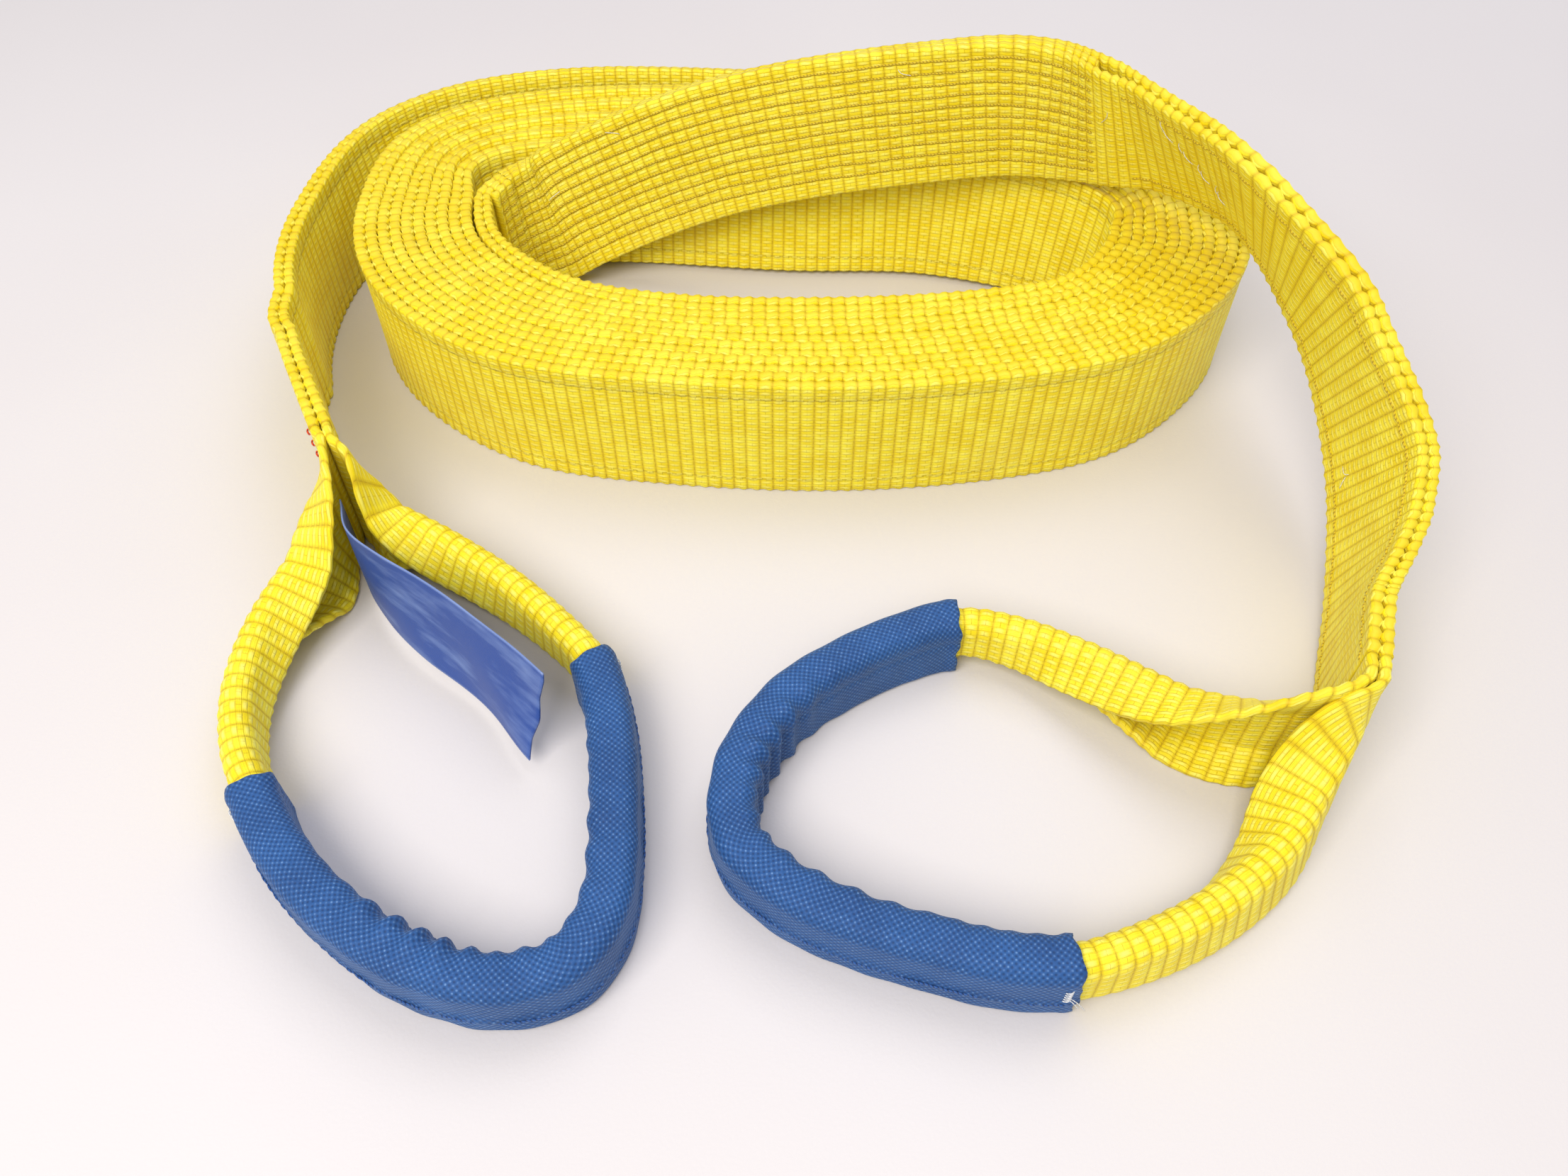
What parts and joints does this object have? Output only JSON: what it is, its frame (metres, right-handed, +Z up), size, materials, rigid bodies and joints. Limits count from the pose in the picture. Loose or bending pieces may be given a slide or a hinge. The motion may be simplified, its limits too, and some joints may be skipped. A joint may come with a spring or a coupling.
{
  "type": "flat web sling",
  "caption": "Coiled two-ply yellow web lifting sling with folded eye loops in blue wear sleeves and a sewn blue tag.",
  "frame": {"origin": "middle of the footprint, on the surface the coil rests on", "axes": "+X towards the right end of the coil, +Y away from the eyes, +Z up across the web's width"},
  "size_m": [0.3846, 0.409, 0.1064],
  "materials": {
    "yellow_webbing": "matt woven, ribbed across",
    "yellow_thread": "matt sewing thread",
    "blue_sleeve": "matt plain weave",
    "blue_thread": "matt sewing thread",
    "white_thread": "matt sewing thread",
    "red_thread": "matt sewing thread",
    "blue_label": "satin coated cloth"
  },
  "bodies": {
    "web_body": {"body_ply_outer": "yellow_webbing", "body_ply_inner": "yellow_webbing", "overlap_ply": "yellow_webbing", "splice_stitch_row_01": "yellow_thread", "splice_stitch_row_02": "yellow_thread", "splice_stitch_row_03": "yellow_thread", "splice_stitch_row_04": "yellow_thread", "splice_stitch_row_05": "yellow_thread", "splice_stitch_row_06": "yellow_thread", "splice_stitch_row_07": "yellow_thread", "splice_stitch_row_08": "yellow_thread", "splice_stitch_row_09": "yellow_thread", "splice_stitch_row_10": "yellow_thread", "edge_stitch_lower": "yellow_thread", "edge_stitch_upper": "yellow_thread", "left_throat_tack": "red_thread", "right_throat_tack": "red_thread"},
    "left_eye": {"left_eye_web": "yellow_webbing", "left_eye_sleeve": "blue_sleeve", "left_sleeve_seam": "blue_thread", "left_sleeve_tack_a": "white_thread", "left_sleeve_tack_b": "white_thread"},
    "right_eye": {"right_eye_web": "yellow_webbing", "right_eye_sleeve": "blue_sleeve", "right_sleeve_seam": "blue_thread", "right_sleeve_tack_a": "white_thread", "right_sleeve_tack_b": "white_thread"},
    "label": {"id_label": "blue_label", "label_stitch": "white_thread"}
  },
  "joints": [
    {"name": "left_throat_swing", "type": "hinge", "parent": "web_body", "child": "left_eye", "pos_m": [-0.15284, -0.02732, 0.025], "axis": [0, 0, 1], "range_deg": [-15, 4]},
    {"name": "right_throat_swing", "type": "hinge", "parent": "web_body", "child": "right_eye", "pos_m": [0.15956, -0.11822, 0.025], "axis": [0, 0, 1], "range_deg": [-15, 15]},
    {"name": "label_swing", "type": "hinge", "parent": "left_eye", "child": "label", "pos_m": [-0.14584, -0.04672, 0.02], "axis": [0, 0, 1], "range_deg": [-8, 8]}
  ]
}
